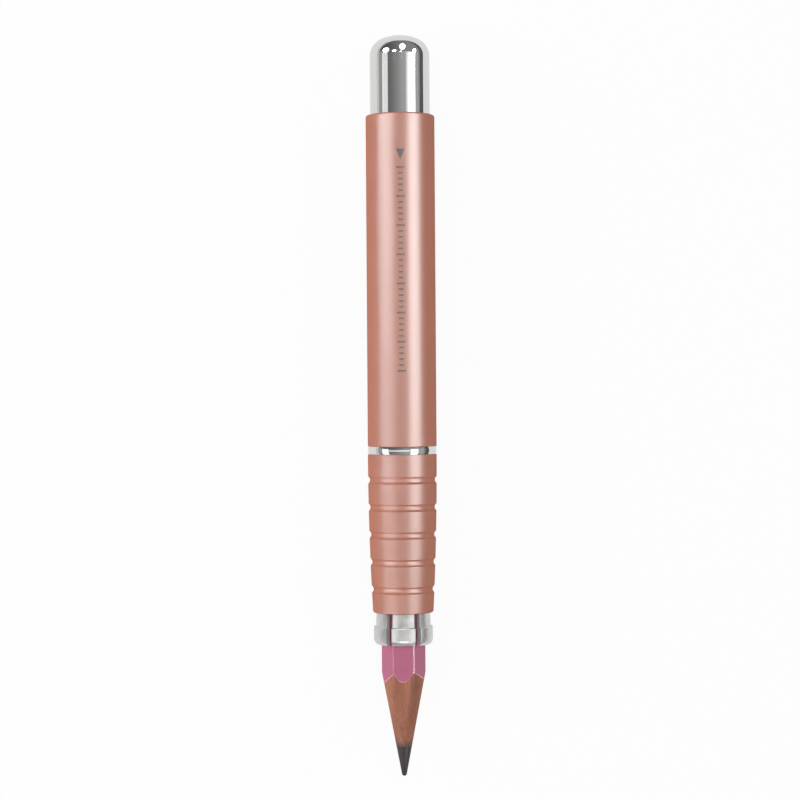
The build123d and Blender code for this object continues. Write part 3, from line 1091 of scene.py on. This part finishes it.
class StudioOperator(bpy.types.Operator):
    """Sets up floor, lamps, grey room and camera"""

    bl_idname = "extender.studio"
    bl_label = "Studio"
    # Metres from the axis to a softbox, and the reach of the broad lamps along the object
    LAMP_DISTANCE = 0.5
    BROAD = (-0.23, 0.27)

    def execute(self, context):
        scene = context.scene
        studio = scene.extender.studio
        scene.view_settings.view_transform = "Standard"
        self.floor()
        self.room(scene, studio)
        self.strip("Top", 0, 60, self.BROAD, studio.top).visible_glossy = False
        self.strip("Side", -65, 48, self.BROAD, studio.side).visible_glossy = False
        self.strip("Bounce", 62, 30, self.BROAD, studio.bounce).visible_glossy = False
        self.rose_gloss(studio)
        self.mirrored(studio)
        self.point_gloss(studio)
        self.flag("Right flag", -46 * MM, 13.8 * MM, 0.1)
        self.flag("Right wall", -60 * MM, 22.5 * MM, 0.25)
        self.flag("Left flag", 60 * MM, 12 * MM, 0.8)
        self.camera(scene, studio)
        return {"FINISHED"}

    def gloss(self, lamp, pieces, mirrored=False):
        """Lets a lamp show as gloss alone, on some pieces, which may be mirrors."""
        lamp.visible_diffuse = False
        lamp.data.cycles.use_multiple_importance_sampling = mirrored
        receivers = bpy.data.collections.new(lamp.name)
        for piece in pieces:
            receivers.objects.link(bpy.data.objects[piece])
        lamp.light_linking.receiver_collection = receivers

    def rose_gloss(self, studio):
        """Softboxes along barrel and grip, brighter towards the cap and beyond the tip."""
        # The reach of each box of a row along the object, and each row with its boxes' shares of its level
        spans = ((-0.55, -0.22), (-0.22, -0.06), (-0.06, 0.05), (0.05, 0.25))
        boxes = (
            ("Rose key", 44.5, 39, studio.key, (1.1, 0.06, 0.9, 1.0)),
            ("Rose fill", -50, 52, studio.fill, (1.2, 0.07, 0.4, 1.0)),
        )
        for name, angle, spread, level, shares in boxes:
            for index, (span, share) in enumerate(zip(spans, shares)):
                lamp = self.strip(f"{name} {index + 1}", angle, spread, span, level * share)
                self.gloss(lamp, ("barrel", "grip"))
        self.gloss(self.strip("Rose top", 0, 36, (-0.3, 0.3), studio.over), ("barrel", "grip"))

    def point_gloss(self, studio):
        """Softboxes right and left of collet and pencil."""
        jaws = [f"jaw_{index + 1}" for index in range(JAWS)]
        lacquer = ["lacquer"]
        point = ["upper_slat", "lower_slat", "lead"]
        near = (-0.35, 0.2)
        far = (-0.35, 0.6)
        # Name, angle from overhead, spread of angles, reach along the object, level and pieces
        boxes = (
            ("Collet key", 43, 36, far, studio.plate_key, jaws),
            ("Collet low key", 78, 24, far, studio.plate_key * 0.5, jaws),
            ("Collet fill", -40, 30, far, studio.plate_fill, jaws),
            ("Collet top", 0, 46, far, studio.plate_over, jaws),
            ("Lacquer key", 43, 44, near, studio.lacquer_key, lacquer),
            ("Lacquer fill", -50, 52, near, studio.lacquer_fill, lacquer),
            ("Point key", 43, 44, near, studio.point_key, point),
            ("Point fill", -50, 52, near, studio.point_fill, point),
        )
        for name, angle, spread, span, level, pieces in boxes:
            self.gloss(self.strip(name, angle, spread, span, level), pieces, pieces is jaws)

    def mirrored(self, studio):
        """What cap and band mirror: softboxes, a bar and small lamps beyond the dome."""
        low = (-0.3, 0.09)
        high = (0.1, 0.142)
        strips = (
            ("Band key", 42.5, 26, low, studio.mirror_key, "band"),
            ("Band fill", -59, 24, low, studio.mirror_fill * 1.6, "band"),
            ("Band bar", -9, 76, (-0.07, 0.02), studio.mirror_bar, "band"),
            ("Cap key", 46.5, 30, high, studio.mirror_key, "cap"),
            ("Cap key edge", 27.75, 7.5, high, studio.mirror_key * 0.28, "cap"),
            ("Cap fill", -59, 24, high, studio.mirror_fill, "cap"),
        )
        for name, angle, spread, span, level, piece in strips:
            self.gloss(self.strip(name, angle, spread, span, level), [piece], True)
        dome = Vector((back("push_cap"), 0, AXIS.z))
        # Place and extent of each small lamp, in metres
        spots = (
            ((0.402, -0.083, 0.368), (0.16, 0.34)),
            ((0.250, 0.390, 0.265), (0.21, 0.21)),
            ((0.200, 0.172, 0.455), (0.13, 0.085)),
            ((0.163, -0.045, 0.498), (0.06, 0.02)),
            ((0.220, -0.417, 0.245), (0.11, 0.20)),
        )
        for index, (spot, extent) in enumerate(spots):
            lamp = self.softbox(f"Spot {index + 1}", spot, dome, extent, studio.spots)
            lamp.data.shape = "ELLIPSE"
            self.gloss(lamp, ["cap"], True)

    def shown(self, shader):
        """1 for the rays that show the background itself, in the picture or mirrored in metal."""
        rays = shader.add("ShaderNodeLightPath", out="Is Camera Ray")
        seen = rays + rays.out("Is Glossy Ray") + rays.out("Is Transmission Ray")
        return seen > 0.5

    def floor(self):
        """Wide white floor that keeps a soft shadow."""
        mesh = bmesh.new()
        bmesh.ops.create_grid(mesh, x_segments=2, y_segments=2, size=4)
        shader = Shader(bpy.data.materials.new("White paper"))
        fibre = shader.noise(shader.where(), scale=900, detail=3)
        white = shader.blended(fibre, (0.86, 0.86, 0.86), (0.9, 0.9, 0.9))
        paper = shader.add("ShaderNodeBsdfDiffuse", None, {"Color": white})
        rays = shader.add("ShaderNodeLightPath", out="Is Camera Ray")
        glow = shader.add("ShaderNodeEmission", None, {"Color": (1, 1, 1), "Strength": 0.8 + 0.2 * rays})
        lit = shader.mixed(self.shown(shader) * 0.93, paper, glow)
        made("Floor", mesh, shader.finished(lit))

    def room(self, scene, studio):
        """Grey surroundings, white where the camera looks past the floor."""
        world = bpy.data.worlds.new("Grey room")
        scene.world = world
        shader = Shader(world)
        rays = shader.add("ShaderNodeLightPath", out="Is Camera Ray")
        way = shader.add("ShaderNodeTexCoord", out="Generated")
        ahead, left, _ = shader.axes(way)
        # Dimmer from right to left, paler again at the far left, and dimmer beyond the cap
        dim = shader.rise(left, -0.45, 0.7, 1.35, 0.52) + shader.rise(left, 0.86, 0.97, 0, 0.62)
        dim = dim * shader.rise(ahead, 0.16, 0.34, 1, 0.62)
        grey = shader.add("ShaderNodeBackground", None, {"Color": (1, 1, 1), "Strength": dim * studio.sky})
        white = shader.add("ShaderNodeBackground", None, {"Color": (1, 1, 1), "Strength": 1.0})
        shader.finished(shader.mixed(rays, grey, white), "World")

    def strip(self, name, angle, spread, span, radiance):
        """Softbox along the object, at an angle from overhead, that fills a spread of angles."""
        target = Vector(((span[0] + span[1]) / 2, 0, AXIS.z))
        away = Vector((0, -sin(radians(angle)), cos(radians(angle)))) * self.LAMP_DISTANCE
        breadth = 2 * self.LAMP_DISTANCE * tan(radians(spread / 2))
        return self.softbox(name, target + away, target, (span[1] - span[0], breadth), radiance)

    def softbox(self, name, location, target, extent, radiance):
        """Area lamp of an even radiance that faces a point."""
        lamp = bpy.data.lights.new(name, "AREA")
        lamp.shape = "RECTANGLE"
        lamp.size = extent[0]
        lamp.size_y = extent[1]
        lamp.energy = radiance * pi * extent[0] * extent[1]
        box = bpy.data.objects.new(name, lamp)
        away = (Vector(location) - target).normalized()
        level = Vector((1, 0, 0)) if abs(away.x) < 0.1 else Vector((0, 1, 0))
        across = away.cross(level).normalized()
        facing = Matrix((across.cross(away), across, away)).transposed()
        box.matrix_world = Matrix.Translation(location) @ facing.to_4x4()
        box.visible_camera = False
        bpy.context.scene.collection.objects.link(box)
        return box

    def flag(self, name, y, height, shade):
        """Low grey wall beside the object, seen only by the metal."""
        mesh = bmesh.new()
        bmesh.ops.create_grid(mesh, x_segments=1, y_segments=1, size=0.5)
        resize(mesh, (1.2, height, 1))
        rotate(mesh, pi / 2, "X")
        shift(mesh, (0, y, height / 2))
        shader = Shader(bpy.data.materials.new(name))
        felt = shader.noise(shader.where(), scale=300, detail=2)
        tone = shader.blended(felt, (shade * 0.9,) * 3, (shade * 1.1,) * 3)
        wall = made(name, mesh, shader.surface(base_color=tone, roughness=0.9))
        wall.visible_camera = False
        wall.visible_diffuse = False
        wall.visible_shadow = False

    def camera(self, scene, studio):
        """Camera straight above, with the cap at the picture's top."""
        data = bpy.data.cameras.new("Camera")
        data.lens = studio.lens
        data.sensor_width = 36
        data.clip_start = 0.01
        camera = bpy.data.objects.new("Camera", data)
        camera.location = (studio.camera_along, studio.camera_aside, studio.camera_height)
        camera.rotation_euler = (0, 0, -pi / 2 - studio.lean)
        scene.collection.objects.link(camera)
        scene.camera = camera


PIECES = (
    ShellOperator,
    CapOperator,
    ColletOperator,
    PencilOperator,
    SpringOperator,
    InnerOperator,
    StudioOperator,
)


def own_settings(group):
    """The names of what a group of settings holds."""
    return [key for key in group.bl_rna.properties.keys() if key not in ("rna_type", "name")]


class ExtenderPanel(bpy.types.Panel):
    """Lists the pieces of the pencil extender and what may be changed"""

    bl_idname = "VIEW3D_PT_extender"
    bl_label = "Pencil Extender"
    bl_space_type = "VIEW_3D"
    bl_region_type = "UI"
    bl_category = "Extender"

    def draw(self, context):
        layout = self.layout
        for piece in PIECES:
            layout.operator(piece.bl_idname)
        settings = context.scene.extender
        for group in own_settings(settings):
            box = layout.box()
            box.label(text=group.title())
            values = getattr(settings, group)
            for value in own_settings(values):
                box.prop(values, value)


CLASSES = (
    ShellSizes,
    MarkSizes,
    CapSizes,
    ColletSizes,
    PencilSizes,
    SpringSizes,
    FinishColours,
    StudioSettings,
    ExtenderSettings,
    *PIECES,
    ExtenderPanel,
)


def register():
    """Adds the classes and the settings."""
    for member in CLASSES:
        bpy.utils.register_class(member)
    bpy.types.Scene.extender = PointerProperty(type=ExtenderSettings)


def unregister():
    """Takes the classes and the settings away."""
    del bpy.types.Scene.extender
    for member in reversed(CLASSES):
        bpy.utils.unregister_class(member)


def main():
    """Registers the add-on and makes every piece."""
    register()
    bpy.ops.extender.shell()
    bpy.ops.extender.cap()
    bpy.ops.extender.collet()
    bpy.ops.extender.pencil()
    bpy.ops.extender.spring()
    bpy.ops.extender.inner()
    bpy.ops.extender.studio()


if __name__ == "__main__":
    main()
